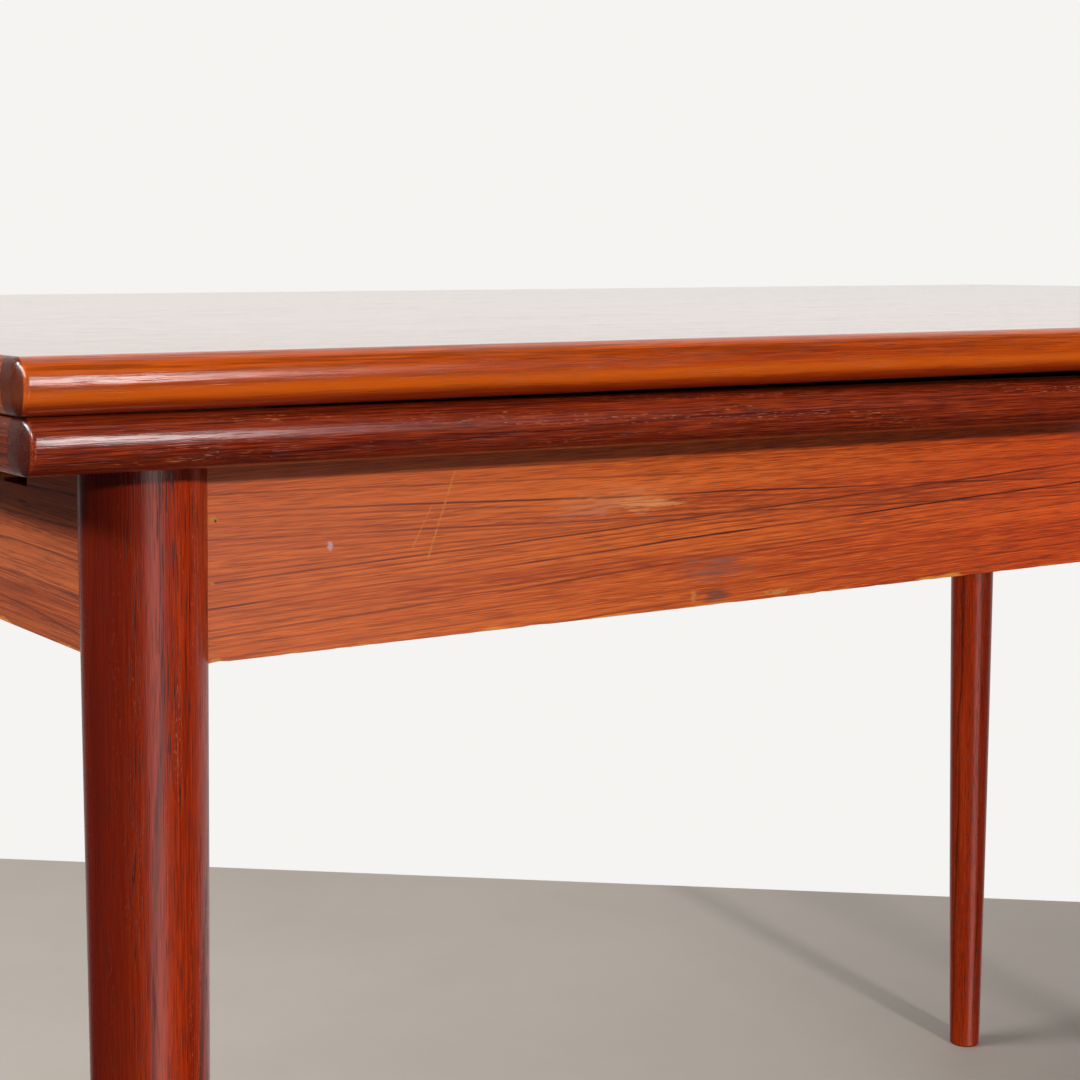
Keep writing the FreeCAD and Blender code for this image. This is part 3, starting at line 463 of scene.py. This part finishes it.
TEAK = {
    "apron_front": wood("teak_apron_front", "X", *APRON_TONES, lean=1.5, line_depth=1.0, streak=0.9,
                        strand=26 * MM, pores=0.45, roughness=0.48, shine=0.35,
                        drawn_lines=FRONT_LINES, extra=front_apron_wear_and_sheen),
    "apron_back": wood("teak_apron_back", "X", *APRON_TONES, ring_turn=20, lean=0.8, roughness=0.48,
                       shine=0.35, offset=2.3, extra=worn_arris),
    "apron_end": wood("teak_apron_end", "Y", *END_APRON_TONES, ring_turn=15, lean=0.6,
                      line_depth=0.6, streak=0.8, roughness=0.48, offset=3.1, extra=worn_arris),
    "leg": wood("teak_leg", "Z", *LEG_TONES, ring_gap=16 * MM, ring_turn=30, line_depth=0.65,
                streak=0.75, strand=14 * MM, pores=1.0, painted_glints=0.45, glint_length=1.6 * MM,
                roughness=0.26, shine=0.42, offset=1.7, extra=painted_shade_outer_side),
    "top_edging": wood("teak_top_edging", "X", *TOP_EDGING_TONES, ring_turn=60, line_depth=0.35,
                       streak=0.55, strand=16 * MM, pores=0.5, painted_glints=0.15, roughness=0.2,
                       matt_pores=0.06, offset=5.3, bump=0.5, end_grain=HALF_LENGTH,
                       polished_top=True, extra=edging_streaks_and_painted_light),
    "top_edging_end": wood("teak_top_edging_end", "Y", *TOP_END_TONES, ring_turn=50, line_depth=0.4,
                           streak=0.5, roughness=0.26, offset=6.9, polished_top=True),
    "leaf_edging_left": wood("teak_leaf_edging", "X", *LEAF_EDGING_TONES, ring_turn=45,
                             line_depth=0.4, streak=1.2, strand=14 * MM, painted_glints=0.5,
                             glint_length=3.5 * MM, roughness=0.2, matt_pores=0.06, offset=8.2,
                             bump=0.7, end_grain=LEAF_END),
    "leaf_edging_end": wood("teak_leaf_edging_end", "Y", *LEAF_END_TONES, ring_turn=40, painted_glints=0.4,
                            roughness=0.26, offset=9.6),
    "top": wood("teak_top", "X", *TOP_TONES, ring_gap=16 * MM, ring_turn=42, line_depth=0.8,
                streak=1.4, pores=0.9, roughness=0.08, matt_pores=0.1, offset=11.0, bump=0.07),
    "leaf": wood("teak_leaf", "X", *LEAF_TONES_AND_SHADE, ring_gap=16 * MM, ring_turn=42, line_depth=0.6,
                 roughness=0.22, matt_pores=0.08, offset=13.4, bump=0.1),
    "plain": wood("teak_plain", "X", *PLAIN_TONES, ring_turn=35, roughness=0.55, shine=0.3,
                  offset=15.2),
    "plain_across": wood("teak_plain_across", "Y", *PLAIN_TONES, ring_turn=35, roughness=0.55,
                         shine=0.3, offset=17.8),
    "beech": wood("beech", "Y", *BEECH_TONES, ring_turn=25, line_depth=0.3, pores=0.4,
                  roughness=0.55, shine=0.3, offset=21.0),
}
TEAK["leaf_edging_right"] = TEAK["leaf_edging_left"]


def steel():
    """Bright zinc-plated steel, a little dulled."""
    material, tree, shader = new_material("steel")
    place = add(tree, "ShaderNodeTexCoord").outputs["Object"]
    dull = clouds(tree, place, (900.0, 900.0, 900.0), detail=3.0)
    tint = blend(tree, span(tree, dull, 0.35, 0.7), colour(168, 168, 164), colour(196, 196, 194))
    tree.links.new(tint, shader.inputs["Base Color"])
    tree.links.new(span(tree, dull, 0.3, 0.7, 0.28, 0.45), shader.inputs["Roughness"])
    relief = add(tree, "ShaderNodeBump", {"Strength": 0.1, "Distance": 0.05 * MM, "Height": dull})
    tree.links.new(relief.outputs[0], shader.inputs["Normal"])
    shader.inputs["Metallic"].default_value = 1.0
    return material


STEEL = steel()


# ---------------------------------------------------------------- making pieces

def body_of(node):
    """The body that a node belongs to."""
    for body, members in frame["record"]["behaviour"]["bodies"].items():
        if node in members:
            return body


def piece(bm, node, material):
    """Makes a finished mesh the piece that stands for a node."""
    bmesh.ops.recalc_face_normals(bm, faces=bm.faces)
    mesh = bpy.data.meshes.new(node + "_made")
    bm.to_mesh(mesh)
    bm.free()
    mesh.shade_smooth()
    mesh.set_sharp_from_angle(angle=SHARP_ARRIS)
    mesh.materials.append(material)
    made = bpy.data.objects.new(node + "_made", mesh)
    bpy.context.scene.collection.objects.link(made)
    made.modifiers.new("flat faces stay flat", "WEIGHTED_NORMAL").keep_sharp = True
    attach(made, body_of(node))
    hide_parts(node)


def block(low, high):
    """A bmesh box between two corners."""
    bm = bmesh.new()
    size = high - low
    place = Matrix.Translation((low + high) / 2) @ Matrix.Diagonal((size.x, size.y, size.z, 1))
    bmesh.ops.create_cube(bm, size=1, matrix=place)
    return bm


def ease(bm, width, edges=None, segments=2):
    """Rounds off arrises."""
    bmesh.ops.bevel(bm, geom=edges or bm.edges[:], offset=width, segments=segments, profile=0.5,
                    affect="EDGES", material=-1, clamp_overlap=True)


def cad_copy(node):
    """A node's own shape as a clean bmesh, its triangles joined into whole faces."""
    bm = bmesh.new()
    bm.from_mesh(frame["nodes"][node].data)
    bmesh.ops.remove_doubles(bm, verts=bm.verts, dist=SAME_POINT)
    bmesh.ops.dissolve_limit(bm, angle_limit=FLAT_ENOUGH, verts=bm.verts, edges=bm.edges)
    return bm


def eased_copy(node, material, width=ARRIS_EASE):
    """A node's own shape with its arrises rounded off."""
    bm = cad_copy(node)
    arrises = [e for e in bm.edges if e.is_manifold and e.calc_face_angle() > REAL_CORNER]
    ease(bm, width, arrises)
    piece(bm, node, material)


# ---------------------------------------------------------------- boards with rounded edgings

def rounded_slab(half_length, half_width, thickness):
    """A whole board, from which an edging is then sawn. Its corners and its rim are round, and its
    ends are rounded less deeply."""
    start = half_length - END_ROUNDING
    reach = start + CORNER_ROUNDING
    bm = block(Vector((-reach, -half_width, 0)), Vector((reach, half_width, thickness)))
    upright = [e for e in bm.edges if abs(e.verts[0].co.z - e.verts[1].co.z) > MM]
    ease(bm, CORNER_ROUNDING, upright, segments=CORNER_STEPS)
    rim = [e for e in bm.edges if abs(e.verts[0].co.z - e.verts[1].co.z) < MM]
    bmesh.ops.bevel(bm, geom=rim, offset=EDGE_ROUNDING, segments=EDGE_STEPS, profile=0.5,
                    affect="EDGES", material=-1, clamp_overlap=False)
    for side in SIDES.values():
        end = [v for v in bm.verts if side * v.co.x > start]
        bmesh.ops.scale(bm, verts=end, vec=(END_ROUNDING / CORNER_ROUNDING, 1, 1),
                        space=Matrix.Translation((-side * start, 0, 0)))
    return bm


def saw(bm, point, direction):
    """Cuts away what lies beyond a plane, and closes the cut."""
    geometry = bm.verts[:] + bm.edges[:] + bm.faces[:]
    cut = bmesh.ops.bisect_plane(bm, geom=geometry, dist=0.001 * MM, plane_co=point,
                                 plane_no=direction, clear_outer=True)
    rim = [item for item in cut["geom_cut"] if isinstance(item, bmesh.types.BMEdge)]
    bmesh.ops.holes_fill(bm, edges=rim)


def side_edging(half_length, half_width, thickness, side):
    """The edging of a long side, which runs right through to both ends."""
    bm = rounded_slab(half_length, half_width, thickness)
    saw(bm, Vector((0, side * (half_width - EDGING), 0)), Vector((0, -side, 0)))
    return bm


def end_edging(half_length, half_width, thickness, side):
    """The edging of an end, which fits between those of the long sides."""
    bm = rounded_slab(half_length, half_width, thickness)
    saw(bm, Vector((side * (half_length - EDGING), 0, 0)), Vector((-side, 0, 0)))
    for end in (-1, 1):
        saw(bm, Vector((0, end * (half_width - EDGING), 0)), Vector((0, end, 0)))
    return bm


def main_top():
    """The loose top: a veneered panel inside four edgings."""
    for name, side in (("front", -1), ("back", 1)):
        bm = side_edging(HALF_LENGTH, HALF_WIDTH, BOARD, side)
        bmesh.ops.translate(bm, verts=bm.verts, vec=(0, 0, TOP_LOW.z))
        piece(bm, f"top_edging_{name}", TEAK["top_edging"])
    for name, side in SIDES.items():
        bm = end_edging(HALF_LENGTH, HALF_WIDTH, BOARD, side)
        bmesh.ops.translate(bm, verts=bm.verts, vec=(0, 0, TOP_LOW.z))
        piece(bm, f"top_edging_{name}", TEAK["top_edging_end"])
    eased_copy("top_panel", TEAK["top"], PANEL_EASE)


def leaf_place(name, side):
    """Where a leaf lies: its outer end, its level there and its slope, from its panel's corners."""
    corners = [v.co for v in frame["nodes"][f"{name}_leaf_panel"].data.vertices]
    outer = max(corners, key=lambda p: (round(side * p.x, 3), -p.z))
    inner = min(corners, key=lambda p: (round(side * p.x, 3), p.z))
    slope = (outer.z - inner.z) / (side * (outer.x - inner.x))
    low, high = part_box(f"{name}_leaf_edging_outer")
    end = high.x if side > 0 else -low.x
    return end, outer.z + slope * (end - side * outer.x), slope


def leaf_boards(name, side):
    """A leaf: a veneered panel, three rounded edgings and a plain lipping at its inner end."""
    end, level, slope = leaf_place(name, side)
    low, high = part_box(f"{name}_leaf_edging_front")
    length = (high.x - low.x) / math.cos(math.atan(slope))
    half_width = -low.y
    turn = Matrix.Rotation(-side * math.atan(slope), 4, "Y")
    lay = (Matrix.Translation((side * end, 0, level)) @ turn
           @ Matrix.Translation((-side * length, 0, 0)))
    for edge, across in (("front", -1), ("back", 1)):
        bm = side_edging(length, half_width, BOARD, across)
        saw(bm, Vector((0, 0, 0)), Vector((-side, 0, 0)))
        bmesh.ops.transform(bm, matrix=lay, verts=bm.verts)
        piece(bm, f"{name}_leaf_edging_{edge}", TEAK[f"leaf_edging_{name}"])
    bm = end_edging(length, half_width, BOARD, side)
    bmesh.ops.transform(bm, matrix=lay, verts=bm.verts)
    piece(bm, f"{name}_leaf_edging_outer", TEAK["leaf_edging_end"])
    eased_copy(f"{name}_leaf_panel", TEAK["leaf"], PANEL_EASE)
    eased_copy(f"{name}_leaf_lipping", TEAK["leaf_edging_end"], PANEL_EASE)


# ---------------------------------------------------------------- legs and aprons

def leg(corner, side_x, side_y):
    """A turned leg: its swelling taper is spun, then two flats are pressed in for the aprons."""
    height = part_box(f"leg_{corner}")[1].z
    foot = FEET[corner]
    flat = APRON_LOW.z
    shoulder = [flat / height, flat / height + 1e-6]
    bm = bmesh.new()
    outline = [Vector((0, 0, 0)), Vector((LEG_FOOT_RADIUS - FOOT_EASE, 0, 0))]
    for share in sorted([i / LEG_RINGS for i in range(LEG_RINGS + 1)] + shoulder):
        radius = LEG_FOOT_RADIUS + (LEG_TOP_RADIUS - LEG_FOOT_RADIUS) * share
        radius += 4 * LEG_BELLY * share * (1 - share)
        outline.append(Vector((radius, 0, max(share * height, FOOT_EASE))))
    outline.append(Vector((0, 0, height)))
    points = [bm.verts.new(p) for p in outline]
    edges = [bm.edges.new(pair) for pair in zip(points, points[1:])]
    bmesh.ops.spin(bm, geom=points + edges, cent=(0, 0, 0), axis=(0, 0, 1), angle=2 * math.pi,
                   steps=LEG_SIDES, use_merge=True)
    bmesh.ops.remove_doubles(bm, verts=bm.verts, dist=0.0005 * MM)
    for vert in bm.verts:
        if vert.co.z > flat + 0.0001 * MM:
            vert.co.x = -side_x * min(-side_x * vert.co.x, LEG_SEAT)
            vert.co.y = -side_y * min(-side_y * vert.co.y, LEG_SEAT)
    bmesh.ops.translate(bm, verts=bm.verts, vec=(foot[0], foot[1], 0))
    piece(bm, f"leg_{corner}", TEAK["leg"])


def long_apron(node):
    """A plain board whose lower arrises are a little chipped."""
    low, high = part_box(node)
    bm = block(low, high)
    ease(bm, ARRIS_EASE)
    along = [e for e in bm.edges if abs(e.verts[0].co.x - e.verts[1].co.x) > 0.5]
    bmesh.ops.subdivide_edges(bm, edges=along, cuts=CHIP_CUTS, use_grid_fill=True)
    for vert in bm.verts:
        if vert.co.z < low.z + 2 * ARRIS_EASE:
            chip = noise.noise(Vector((vert.co.x * 160, vert.co.y * 20, 4.0)))
            vert.co.z += max(0.0, chip - CHIP_START) * CHIP_DEPTH
    piece(bm, node, TEAK[node])


# ---------------------------------------------------------------- screws

def islands(node):
    """The separate solids of a node, each as a list of its corners, always in the same order."""
    bm = bmesh.new()
    bm.from_mesh(frame["nodes"][node].data)
    bmesh.ops.remove_doubles(bm, verts=bm.verts, dist=SAME_POINT)
    left = set(bm.verts)
    found = []
    while left:
        queue = [left.pop()]
        solid = []
        while queue:
            vert = queue.pop()
            solid.append(vert.co.copy())
            for edge in vert.link_edges:
                other = edge.other_vert(vert)
                if other in left:
                    left.remove(other)
                    queue.append(other)
        found.append(sorted(solid, key=tuple))
    bm.free()
    return sorted(found, key=lambda solid: tuple(solid[0]))


def slotted_screws(node, direction):
    """The screws of one group. Each has a tapered tip and a slotted pan head."""
    bm = bmesh.new()
    for number, solid in enumerate(islands(node)):
        ends = sorted(solid, key=lambda p: p.dot(direction))
        start = ends[0].dot(direction)
        finish = ends[-1].dot(direction)
        centre = sum(solid, Vector()) / len(solid)
        head_end = centre + direction * (start - centre.dot(direction))
        length = finish - start
        head = [p - head_end for p in solid if (p - head_end).dot(direction) < 3 * MM]
        radius = max(p.length for p in head)
        shank = min(radius / 2, SHANK_RADIUS)
        turn = Vector((0, 0, 1)).rotation_difference(direction).to_matrix().to_4x4()
        spin = Matrix.Rotation(number * SCREW_TURN, 4, "Z")
        screw(bm, Matrix.Translation(head_end) @ turn @ spin, length, radius, shank)
    piece(bm, node, STEEL)


def screw(bm, place, length, radius, shank):
    """One screw from its head's face along +Z: two half discs beside the slot, a disc, a shank and
    a tip."""
    face, middle, rim = radius * 0.72, radius * 0.92, radius * 0.98
    body, point = shank * 0.98, shank * 0.2
    for half in (0, 1):
        disc = bmesh.new()
        bmesh.ops.create_cone(disc, cap_ends=True, segments=SCREW_SIDES, radius1=face,
                              radius2=middle, depth=SCREW_SLOT_DEPTH,
                              matrix=Matrix.Translation((0, 0, SCREW_SLOT_DEPTH / 2)))
        saw(disc, Vector((0, SCREW_SLOT / 2, 0)), Vector((0, -1, 0)))
        turned = place @ Matrix.Rotation(half * math.pi, 4, "Z")
        bmesh.ops.transform(disc, matrix=turned, verts=disc.verts)
        join(bm, disc)
    for start, depth, first, second in (
        (SCREW_SLOT_DEPTH, SCREW_HEAD - SCREW_SLOT_DEPTH, middle, rim),
        (SCREW_HEAD, length - SCREW_HEAD - SCREW_TIP, body, body),
        (length - SCREW_TIP, SCREW_TIP, body, point),
    ):
        bmesh.ops.create_cone(bm, cap_ends=True, segments=SCREW_SIDES, radius1=first,
                              radius2=second, depth=depth,
                              matrix=place @ Matrix.Translation((0, 0, start + depth / 2)))


def join(bm, other):
    """Moves one bmesh's faces into another."""
    mesh = bpy.data.meshes.new("part")
    other.to_mesh(mesh)
    other.free()
    bm.from_mesh(mesh)
    bpy.data.meshes.remove(mesh)


# ---------------------------------------------------------------- the whole table

main_top()
for name, side in SIDES.items():
    leaf_boards(name, side)
    for edge in ("front", "back"):
        eased_copy(f"{name}_bearer_{edge}", TEAK["plain"])
        eased_copy(f"{name}_stop_block_{edge}", TEAK["beech"])
        eased_copy(f"runner_block_{name}_{edge}", TEAK["beech"])
    eased_copy(f"apron_{name}", TEAK["apron_end"])
    eased_copy(f"top_peg_{name}", TEAK["beech"])
    eased_copy(f"peg_keeper_{name}", TEAK["plain"])
    slotted_screws(f"{name}_bearer_screws", Vector((0, 0, 1)))
    slotted_screws(f"{name}_stop_screws", Vector((0, -side, 0)))
for corner, (side_x, side_y) in CORNERS.items():
    leg(corner, side_x, side_y)
    eased_copy(f"corner_block_{corner}", TEAK["beech"])
    eased_copy(f"glue_block_{corner}", TEAK["beech"])
long_apron("apron_front")
long_apron("apron_back")
eased_copy("centre_board", TEAK["plain"])
eased_copy("guide_rail", TEAK["plain_across"])
slotted_screws("centre_board_screws", Vector((0, 0, 1)))
slotted_screws("keeper_screws", Vector((0, 0, 1)))
frame["nodes"]["dowels"].material_slots[0].material = TEAK["beech"]


# ---------------------------------------------------------------- floor, light and camera

# where the floor meets the wall: a point of that line, and the level direction beyond it
WALL_FOOT = Vector((0.54, 1.036, 0))
BEYOND = Vector((0.659, 0.752, 0))
FLOOR_HALF_SIDE = 9
LIT_POINT = Vector((-0.3, -0.4, 0.65))

# the soft window that glossy faces see in front of the table: its sides and its levels, in degrees
WINDOW_SIDES = (-18, 11)
WINDOW_LEVELS = (-44, 20)
FRONT_GLOW = 2.7
DARK_GLOW = 0.02
FILL = 0.12

# azimuth and elevation in degrees, distance, width, height, watts
LIGHTS = {
    "low_lamp": (-2.6, 11.5, 6.74, 0.5, 0.17, 290),
    "front_softbox": (-2, 28, 4.0, 3.4, 2.6, 24),
    "ceiling": (180, 80, 2.6, 2.0, 2.0, 14),
    "slim_window": (18.5, 17, 4.0, 0.14, 1.7, 54),
    "left_window": (-105, 28, 4.0, 4.6, 0.25, 176),
}
WARM = (1.0, 0.98, 0.95)


def stage():
    """A pale grey floor that ends at a white wall's foot, and throws less light back than it
    shows."""
    bm = bmesh.new()
    bmesh.ops.create_grid(bm, x_segments=1, y_segments=1, size=FLOOR_HALF_SIDE)
    bmesh.ops.bisect_plane(bm, geom=bm.verts[:] + bm.edges[:] + bm.faces[:], plane_co=WALL_FOOT,
                           plane_no=BEYOND, clear_outer=True)
    mesh = bpy.data.meshes.new("floor")
    bm.to_mesh(mesh)
    bm.free()
    floor = bpy.data.objects.new("floor", mesh)
    bpy.context.scene.collection.objects.link(floor)
    material, tree, shader = new_material("floor_paint")
    place = add(tree, "ShaderNodeTexCoord").outputs["Object"]
    mottle = clouds(tree, place, (3.0, 3.0, 3.0), detail=5.0, roughness=0.7)
    seen = blend(tree, span(tree, mottle, 0.3, 0.7), colour(204, 194, 184), colour(209, 199, 189))
    rays = add(tree, "ShaderNodeLightPath")
    tint = blend(tree, rays.outputs["Is Camera Ray"], colour(120, 112, 104), seen)
    tree.links.new(tint, shader.inputs["Base Color"])
    shader.inputs["Roughness"].default_value = 0.7
    mesh.materials.append(material)
    floor.visible_glossy = False


def facing_window(tree, azimuth, elevation, sides, levels, soft):
    """How far a direction points into a soft-edged window. Its sides, its levels and the half
    width of its soft edge are in degrees."""
    inside = 1.0
    for angle, (start, end) in ((azimuth, sides), (elevation, levels)):
        for edge, low, high in ((start, 0.0, 1.0), (end, 1.0, 0.0)):
            passed = span(tree, angle, radians(edge - soft), radians(edge + soft), low, high)
            inside = calculate(tree, "MULTIPLY", passed, inside)
    return inside


def surroundings():
    """A plain studio. Glossy faces see its white wall and floor behind the table, a tall soft
    window in front of it, and dark everywhere else."""
    world = bpy.data.worlds.new("studio")
    bpy.context.scene.world = world
    world.use_nodes = True
    tree = world.node_tree
    tree.nodes.clear()
    rays = add(tree, "ShaderNodeLightPath")
    split = axes(tree, add(tree, "ShaderNodeTexCoord").outputs["Generated"])
    azimuth = calculate(tree, "ARCTAN2", split[0], calculate(tree, "MULTIPLY", split[1], -1.0))
    elevation = calculate(tree, "ARCSINE", split[2])
    behind = calculate(tree, "MULTIPLY", span(tree, split[0], -0.35, -0.05),
                       span(tree, split[1], 0.0, 0.3))
    wall = calculate(tree, "MULTIPLY", behind, span(tree, split[2], -0.06, 0.0))
    beyond = span(tree, calculate(tree, "ADD", split[0], split[1]), 0.6, 1.15, 0.0, 0.7)
    below = span(tree, split[2], -0.1, -0.02, 1.0, 0.0)
    low = calculate(tree, "MULTIPLY", below, span(tree, split[2], -0.45, -0.35))
    pale_floor = calculate(tree, "MULTIPLY", beyond, low)
    front = facing_window(tree, azimuth, elevation, WINDOW_SIDES, WINDOW_LEVELS, soft=7.0)
    glossy = calculate(tree, "MAXIMUM", wall, calculate(tree, "MULTIPLY", front, FRONT_GLOW))
    glossy = calculate(tree, "ADD", calculate(tree, "MAXIMUM", glossy, pale_floor), DARK_GLOW)
    inputs = {0: rays.outputs["Is Glossy Ray"], 2: FILL, 3: glossy}
    strength = add(tree, "ShaderNodeMix", inputs).outputs[0]
    strength = calculate(tree, "MAXIMUM", strength, rays.outputs["Is Camera Ray"])
    inputs = {"Color": colour(245, 244, 242), "Strength": strength}
    glow = add(tree, "ShaderNodeBackground", inputs)
    output = add(tree, "ShaderNodeOutputWorld")
    tree.links.new(glow.outputs[0], output.inputs[0])


def soft_light(name, tint=(1, 1, 1), gives="both"):
    """A soft rectangular light that faces the table. Azimuth 0 is in front, 90 on its right. It
    gives light, a reflection, or both."""
    azimuth, elevation, distance, width, height, power = LIGHTS[name]
    a, e = radians(azimuth), radians(elevation)
    towards = Vector((math.sin(a) * math.cos(e), -math.cos(a) * math.cos(e), math.sin(e)))
    lamp = bpy.data.lights.new(name, "AREA")
    lamp.shape = "RECTANGLE"
    lamp.size, lamp.size_y = width, height
    lamp.energy = power
    lamp.color = tint
    light = bpy.data.objects.new(name, lamp)
    light.location = LIT_POINT + towards * distance
    light.rotation_mode = "QUATERNION"
    light.rotation_quaternion = (-towards).to_track_quat("-Z", "Y")
    light.visible_camera = False
    light.visible_glossy = gives != "light"
    light.visible_diffuse = gives != "reflection"
    bpy.context.scene.collection.objects.link(light)


def camera():
    """A long lens a little above the top, looking along the table from its front left corner."""
    data = bpy.data.cameras.new("camera")
    data.sensor_width = 36
    data.lens = 70.22
    data.shift_x = 0.0251
    data.shift_y = -0.1146
    data.clip_start = 0.02
    view = bpy.data.objects.new("camera", data)
    view.location = (-0.8564, -1.0133, 0.7481)
    yaw, pitch = radians(33.48), radians(4.366)
    view.rotation_euler = (radians(90) - pitch, 0, -yaw)
    bpy.context.scene.collection.objects.link(view)
    bpy.context.scene.camera = view


stage()
surroundings()
soft_light("low_lamp", tint=WARM, gives="light")
soft_light("front_softbox", gives="light")
soft_light("ceiling", gives="light")
soft_light("slim_window", gives="reflection")
soft_light("left_window")
camera()
bpy.context.scene.view_settings.view_transform = "Standard"
